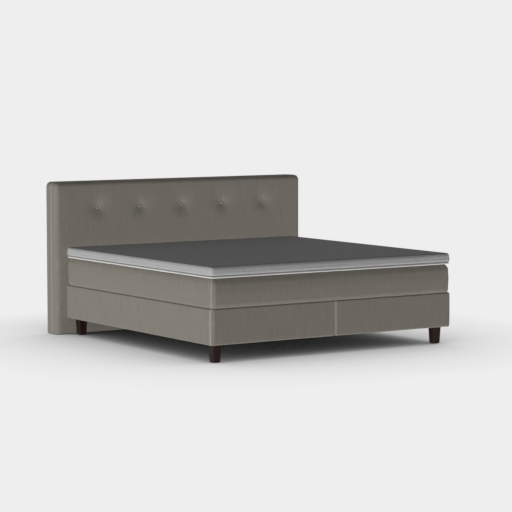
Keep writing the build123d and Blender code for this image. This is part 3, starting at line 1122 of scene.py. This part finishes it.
@dataclass
class Topper(Assembly):
    """The topper: a smooth top panel, a mesh border and a piping round its foot."""

    corner: float = 0.028
    edge: float = 0.022
    edge_steps: int = 8
    top_draw: float = 0.003
    panel: float = 0.006
    piping_radius: float = 0.0054
    piping_inset: float = 0.010
    piping_level: float = 0.0036
    piping_corner_steps: int = 10
    piping_resolution: int = 3
    seam_share: float = 1.4
    seam_draw: float = 0.006
    draw_shares: tuple[float, float, float] = (0.7, 0.65, 1 / 6)
    stitch_width: float = 0.0045
    stitch_edge: float = 0.0005
    full_share: float = 0.42
    crown: float = 0.0006
    crown_scale: float = 9.0
    grid: float = 0.06
    body: ClassVar[str] = "topper"

    def __post_init__(self) -> None:
        """Reads the whole topper's corners from the frame."""
        self.low, self.high = corners_of("topper_border")
        self.high.z = corners_of("topper_top_panel")[1].z

    @property
    def seam_height(self) -> float:
        """How far above the foot the border is stitched to the piping."""
        return self.piping_level + self.seam_share * self.piping_radius

    def build(self) -> None:
        """Builds and dresses the topper's pieces."""
        border = self.form("topper_border_and_floor")
        activate(border)
        bpy.ops.object.duplicate()
        panel = bpy.context.object
        panel.name = "topper_top_cloth"
        cut = Axis.Z.unit(self.high.z - self.panel)
        for piece, keep_above in ((border, False), (panel, True)):
            with editing(piece):
                bpy.ops.mesh.select_all(action="SELECT")
                bpy.ops.mesh.bisect(
                    plane_co=cut, plane_no=Axis.Z.unit(), use_fill=True,
                    clear_inner=keep_above, clear_outer=not keep_above,
                )
            smooth(piece)
        # The marked band from the piping's top to above the seam gets dark stitches that also paint
        # the shade in the crease there.
        slack = self.stitch_edge / 2
        lowest = self.low.z + self.piping_level + self.piping_radius - slack
        highest = self.low.z + self.seam_height + self.stitch_width + slack
        mark(border, "stitch_and_crease_shade", lambda point: float(lowest < point.z < highest))
        self.settle(border, "topper_border", "topper_border")
        self.settle(panel, "topper_panel", "topper_top_panel")
        self.settle(self.piping("topper_edge_piping"), "piping", "topper_piping")

    def profile(self) -> Profile:
        """The border's outline.

        Returns:
            Heights above its foot, rising, with how far it is drawn in at each.
        """
        thickness = self.high.z - self.low.z
        tuck = self.piping_inset + self.piping_radius
        full = self.full_share * thickness
        seam, draw = self.seam_height, self.seam_draw
        stitched = seam + self.stitch_width
        on_stitches, above_stitches, halfway = (share * draw for share in self.draw_shares)
        points = [
            (0.0, tuck), (self.piping_level + self.piping_radius, tuck),
            (seam - self.stitch_edge, draw), (seam, draw),
            (stitched, on_stitches), (stitched + self.stitch_edge, above_stitches),
            ((stitched + full) / 2, halfway), (full, 0.0),
        ]
        for depth, inset in reversed(rounding(self.edge, self.edge_steps)):
            points.append((thickness - depth, self.top_draw + inset))
        return points

    def form(self, name: str) -> Piece:
        """Builds the whole topper as one form.

        Args:
            name: The object's name.

        Returns:
            The form.
        """
        low, high = self.low, self.high
        piece = cushion(name, low, high, self.corner, self.profile(), self.grid)

        def rippled(point: Vector, normal: Vector) -> Vector:
            """Makes the border slightly uneven above its seam.

            Args:
                point: The point.
                normal: Its normal.

            Returns:
                Its new place.
            """
            wave = noise.noise(point * self.crown_scale)
            above_seam = ease(low.z + self.seam_height, low.z + 2 * self.seam_height, point.z)
            return point + normal * self.crown * wave * above_seam * (1 - abs(normal.z))

        def held(point: Vector) -> bool:
            """Whether a point lies on the top or below the seam, and so stays there."""
            below_seam = point.z - low.z < self.seam_height + NEAR
            return below_seam or high.z - point.z < self.panel / 2

        move_points(piece, rippled)
        Padding().press(piece, held)
        return piece

    def piping(self, name: str) -> Piece:
        """Builds the cord of piping round the foot of the border.

        Args:
            name: The object's name.

        Returns:
            The piping.
        """
        inset = Vector((self.piping_inset, self.piping_inset, 0.0))
        size = (self.high - self.low) - 2 * inset
        middle = (self.low + self.high) / 2
        middle.z = self.low.z + self.piping_level
        bpy.ops.object.select_all(action="DESELECT")
        bpy.ops.mesh.primitive_plane_add(size=1, location=middle)
        piece = bpy.context.object
        piece.name = name
        piece.scale = (size.x, size.y, 1.0)
        bpy.ops.object.transform_apply(location=True, rotation=True, scale=True)
        with editing(piece):
            bpy.ops.mesh.select_all(action="SELECT")
            bpy.ops.mesh.bevel(
                offset=self.corner - self.piping_inset, segments=self.piping_corner_steps,
                affect="VERTICES",
            )
            bpy.ops.mesh.delete(type="ONLY_FACE")
        activate(piece)
        bpy.ops.object.convert(target="CURVE")
        piece.data.bevel_depth = self.piping_radius
        piece.data.bevel_resolution = self.piping_resolution
        bpy.ops.object.convert(target="MESH")
        bpy.ops.object.shade_smooth()
        return piece


@dataclass
class Headboard(Assembly):
    """The headboard in its cover, pulled in by one row of buttons."""

    corner: float = 0.038
    corner_steps: int = 8
    front_edge: float = 0.034
    front_steps: int = 7
    back_edge: float = 0.010
    back_steps: int = 4
    hem: float = 0.040
    cloth: float = 0.002
    buttons: int = 5
    button_crown_share: float = 0.6
    button_steps: int = 6
    tuft_reach: float = 0.120
    floor_radius: float = 0.013
    held_share: float = 0.9
    pleat: float = 0.0012
    pleat_reach: float = 0.05
    pleat_start_shares: tuple[float, float] = (0.8, 1.3)
    folds: tuple[tuple[int, float, float], ...] = ((7, 9.0, 1.0), (11, -17.0, 0.6))
    padding: Padding = Padding(farthest=0.003)
    fine_reach: float = 0.15
    grid: float = 0.03
    sharpest: float = 60.0
    key_hole: float = 0.018
    seam_from_front: float = 0.070
    # Its mark paints a pale highlight band on the headboard's side.
    seam: Seam = Seam(half_width=0.006, strength=0.45)

    def __post_init__(self) -> None:
        """Reads the places of the panel and of its buttons from the frame."""
        self.low, self.high = corners_of("headboard_cover")
        low, high = corners_of("headboard_buttons")
        self.button_radius = (high.z - low.z) / 2
        self.button_front, self.button_back = low.y, high.y
        self.tuft_depth = self.button_back - self.low.y
        pitch = (high.x - low.x - 2 * self.button_radius) / (self.buttons - 1)
        self.places = [
            Vector((low.x + self.button_radius + pitch * number, self.low.y, (low.z + high.z) / 2))
            for number in range(self.buttons)
        ]

    def build(self) -> None:
        """Builds and dresses the headboard's soft pieces."""
        cover = self.cover("headboard_fabric")
        self.settle(cover, "upholstery", "headboard_cover")
        foam = self.foam("headboard_foam_pad")
        self.settle(foam, "foam", "headboard_foam")
        back = self.back_cloth("headboard_back_lining")
        self.settle(back, "dust_cloth", "headboard_back_cloth")
        buttons = self.button_row("headboard_covered_buttons")
        self.settle(buttons, "upholstery", "headboard_buttons")

    def sink(self, point: Vector) -> float:
        """How deep the tufts press the front in at a point.

        Args:
            point: A point of the front face.

        Returns:
            The depth.
        """
        run = self.tuft_reach - self.floor_radius
        bend = (run**2 + self.tuft_depth**2) / (2 * self.tuft_depth)
        for place in self.places:
            across, up = point.x - place.x, point.z - place.z
            reach = math.hypot(across, up)
            if reach < self.tuft_reach:
                inward = min(self.tuft_reach - reach, run)
                angle = math.atan2(up, across)
                folds = sum(
                    height * math.sin(count * angle + turn * place.x)
                    for count, turn, height in self.folds
                )
                start = (share * self.floor_radius for share in self.pleat_start_shares)
                near_button = 1 - ease(self.floor_radius, self.pleat_reach, reach)
                fade = near_button * ease(*start, reach)
                return bend - math.sqrt(bend**2 - inward**2) + self.pleat * folds * fade
        return 0.0

    def panel(self, name: str, inset: float) -> Piece:
        """Builds the closed form of the padded panel with its tufts.

        Args:
            name: The object's name.
            inset: How far the form lies inside the cover's outer face.

        Returns:
            The panel.
        """
        inwards = Vector((inset, inset, inset))
        low, high = self.low + inwards, self.high - inwards
        piece = add_block(name, low, high)

        def rim(y: float) -> PairTest:
            """A test for the edges of an upright face, but for its lower one."""
            in_face = level_edge(Axis.Y, y)
            return lambda a, b: in_face(a, b) and max(a.z, b.z) > low.z + NEAR

        with editing(piece):
            round_edges(
                piece, self.corner - inset, self.corner_steps,
                lambda a, b: abs(a.x - b.x) < NEAR and min(a.z, b.z) > high.z - NEAR,
            )
            round_edges(piece, self.front_edge - inset, self.front_steps, rim(low.y))
            round_edges(piece, self.back_edge - inset, self.back_steps, rim(high.y))
            cut_grid((Axis.X, Axis.Z), low, high, self.grid, self.corner)
            merge_near()
            for place in self.places:
                for reach, cuts in ((self.fine_reach, 2), (self.fine_reach / 2, 1)):
                    pick_faces(
                        piece,
                        lambda middle, _: abs(middle.y - low.y) < NEAR
                        and math.hypot(middle.x - place.x, middle.z - place.z) < reach,
                    )
                    bpy.ops.mesh.subdivide(number_cuts=cuts)

        def pressed(point: Vector, _: Vector) -> Vector:
            """Presses a point of the front in by the tufts.

            Args:
                point: The point.
                _: Its normal, which isn't needed.

            Returns:
                Its new place.
            """
            if point.y > low.y + self.front_edge:
                return point
            return point + Axis.Y.unit(self.sink(point))

        move_points(piece, pressed)
        return piece

    def cover(self, name: str) -> Piece:
        """Builds the cover, from its front over its edges to the hem on its back.

        Args:
            name: The object's name.

        Returns:
            The cover.
        """
        piece = self.panel(name, 0.0)
        low, high = self.low, self.high
        seams = (low.y + self.seam_from_front,)

        def held(point: Vector) -> bool:
            """Whether a point lies off the padded front or under a button.

            Args:
                point: The point.

            Returns:
                True where the cover stays as it is.
            """
            at_end = point.z > high.z - self.front_edge or point.z < low.z + self.front_edge
            at_side = abs(point.x) > high.x - self.front_edge
            depth = self.sink(point)
            behind = point.y > low.y + self.cloth and depth == 0.0
            return at_end or at_side or behind or depth > self.tuft_depth * self.held_share

        def raised(point: Vector, normal: Vector) -> Vector:
            """A point's place once the seam lifts it."""
            return point + normal * self.seam.rise * self.seam.share(point, seams)

        self.padding.press(piece, held)
        with editing(piece):
            self.seam.cut(seams)
            for axis in (Axis.X, Axis.Z):
                i = axis.value
                cut_across(axis, (low[i] + self.hem, high[i] - self.hem))
            pick_faces(
                piece,
                lambda middle, _: middle.y > high.y - NEAR
                and abs(middle.x) < high.x - self.hem
                and low.z + self.hem < middle.z < high.z - self.hem,
            )
            bpy.ops.mesh.delete(type="FACE")
        move_points(piece, raised)
        give_wall(piece, self.cloth)
        smooth(piece, self.sharpest)
        # The seam mark paints a pale highlight band on the side.
        mark(piece, "seam", lambda point: self.seam.strength * self.seam.share(point, seams))
        return piece

    def foam(self, name: str) -> Piece:
        """Builds the foam over the front, the sides and the top of the board.

        Args:
            name: The object's name.

        Returns:
            The foam.
        """
        piece = self.panel(name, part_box("headboard_foam")[0][1] - self.low.y)
        low, high = corners_of("headboard_board")
        high.y = self.high.y + self.hem
        low.z = self.low.z - self.hem
        cut_out(piece, add_block("board_space", low, high))
        smooth(piece, self.sharpest)
        return piece

    def back_cloth(self, name: str) -> Piece:
        """Builds the cloth over the frame's back, with a key hole behind each bolt.

        Args:
            name: The object's name.

        Returns:
            The cloth.
        """
        node = "headboard_back_cloth"
        piece = gridded_block(name, node, (Axis.X, Axis.Z), 2 * self.grid)
        low, high = corners_of("headboard_bolts")
        outer = high.x - (high.z - low.z) / 2
        inner = -corners_of("left_base_cover")[0].x - outer
        y, z = corners_of(node)[0].y, (low.z + high.z) / 2
        for x in (-outer, -inner, inner, outer):
            cut_out(piece, add_disc(Vector((x, y, z)), self.key_hole, 4 * self.hem))
        smooth(piece)
        return piece

    def button_row(self, name: str) -> Piece:
        """Builds the covered buttons, each crowned towards the front.

        Args:
            name: The object's name.

        Returns:
            One object with all the buttons.
        """
        thickness = self.button_back - self.button_front
        middle_y = (self.button_front + self.button_back) / 2
        crown = thickness * self.button_crown_share
        front = level_edge(Axis.Y, self.button_front)
        pieces = []
        for place in self.places:
            button = add_disc(Vector((place.x, middle_y, place.z)), self.button_radius, thickness)
            with editing(button):
                round_edges(button, crown, self.button_steps, front)
            pieces.append(button)
        activate(pieces[0])
        for button in pieces:
            button.select_set(True)
        bpy.ops.object.join()
        pieces[0].name = name
        smooth(pieces[0])
        return pieces[0]


def dress_frame(finishes: Finishes) -> None:
    """Gives every node of the frame the material of its slot."""
    for part in frame["record"]["subparts"]:
        dress(frame["nodes"][part["node"]], finishes[part["material_slot"]])


# The room


@dataclass(frozen=True)
class Lamp:
    """A distant lamp: where its light comes from, how strong and how soft it is."""

    name: str
    turn: float
    rise: float
    strength: float
    spread: float = 40.0
    shadows: bool = True

    def add(self) -> None:
        """Adds the lamp, turned towards the bed."""
        turn, rise = math.radians(self.turn), math.radians(self.rise)
        source = Vector((
            -math.cos(turn) * math.cos(rise), -math.sin(turn) * math.cos(rise), math.sin(rise)
        ))
        bpy.ops.object.light_add(type="SUN", rotation=source.to_track_quat("Z", "Y").to_euler())
        lamp = bpy.context.object
        lamp.name = self.name
        lamp.data.energy = self.strength * math.pi
        lamp.data.angle = math.radians(self.spread)
        lamp.data.use_shadow = self.shadows


@dataclass
class Studio:
    """The pale floor, the soft light and the camera."""

    pale: float = 0.855
    floor_bounce: float = 0.1
    darkest_floor: float = 0.006
    shade_reach: float = 1.3
    shade_samples: int = 16
    floor_half: float = 150.0
    floor_drop: float = 0.0004
    camera_place: tuple[float, float, float] = (-8.3155, -12.7668, 1.8738)
    camera_turn: float = 33.269
    camera_dip: float = 4.8047
    camera_roll: float = 0.075
    lens: float = 149.17
    farthest_seen: float = 400.0
    room_light: float = 0.23
    lamps: tuple[Lamp, ...] = (
        Lamp("side_lamp", turn=20.0, rise=4.0, strength=0.27),
        Lamp("left_fill", turn=20.0, rise=-30.0, strength=0.83, shadows=False),
        Lamp("right_fill", turn=180.0, rise=-17.0, strength=0.58, shadows=False),
        Lamp("back_fill", turn=270.0, rise=0.0, strength=0.42, shadows=False),
        Lamp("under_fill", turn=90.0, rise=-60.0, strength=0.38, shadows=False),
    )

    def build(self) -> None:
        """Builds the camera, the floor, the world and the lamps."""
        bpy.context.scene.view_settings.view_transform = "Standard"
        self.add_camera()
        self.add_floor()
        self.light_world()
        for lamp in self.lamps:
            lamp.add()

    def add_camera(self) -> None:
        """Adds the camera at the photograph's viewing angle."""
        angles = (90 - self.camera_dip, self.camera_roll, -self.camera_turn)
        turn = tuple(math.radians(angle) for angle in angles)
        bpy.ops.object.camera_add(location=self.camera_place, rotation=turn)
        camera = bpy.context.object
        camera.data.lens = self.lens
        camera.data.clip_end = self.farthest_seen
        bpy.context.scene.camera = camera

    def seen_directly(self, graph: Graph) -> Socket:
        """Adds the share that is 1 where a surface is seen, mirrored or seen through.

        Args:
            graph: The graph to add it to.

        Returns:
            Its socket.
        """
        path = graph.add("LightPath").outputs
        mirrored = graph.math("MAXIMUM", path["Is Glossy Ray"], path["Is Transmission Ray"])
        return graph.math("MAXIMUM", path["Is Camera Ray"], mirrored)

    def add_floor(self) -> None:
        """Adds a pale floor that darkens where the bed keeps the light off it."""
        place = Axis.Z.unit(-self.floor_drop)
        bpy.ops.mesh.primitive_plane_add(size=2 * self.floor_half, location=place)
        floor = bpy.context.object
        floor.name = "floor"
        material = bpy.data.materials.new("pale floor")
        material.use_nodes = True
        graph = Graph(material.node_tree)
        reach = {"Distance": self.shade_reach}
        open_share = graph.add("AmbientOcclusion", reach, samples=self.shade_samples).outputs["AO"]
        shade = graph.ranged(open_share, 0.0, 1.0, self.darkest_floor)
        level = graph.ranged(self.seen_directly(graph), 0.0, 1.0, self.floor_bounce, self.pale)
        strength = graph.math("MULTIPLY", shade, level)
        glow = graph.add("Emission", {"Color": WHITE, "Strength": strength})
        graph.add("OutputMaterial", {0: glow.outputs[0]})
        floor.data.materials.append(material)

    def light_world(self) -> None:
        """Lights the room softly from all round."""
        world = bpy.data.worlds.new("studio")
        bpy.context.scene.world = world
        world.use_nodes = True
        graph = Graph(world.node_tree)
        light, backdrop = (
            graph.add("Background", {"Color": WHITE, "Strength": strength}).outputs[0]
            for strength in (self.room_light, self.pale)
        )
        mixed = graph.add("MixShader", {0: self.seen_directly(graph), 1: light, 2: backdrop})
        graph.add("OutputWorld", {0: mixed.outputs[0]})


def main() -> None:
    """Builds the whole scene on the frame and reports each piece."""
    logging.basicConfig(level=logging.INFO, format="%(name)s %(relativeCreated)d ms: %(message)s")
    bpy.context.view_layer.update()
    Studio().build()
    finishes = build_finishes()
    dress_frame(finishes)
    for side in Side:
        BoxBase(finishes, side).build()
    Mattress(finishes).build()
    Topper(finishes).build()
    Headboard(finishes).build()


if __name__ == "__main__":
    main()
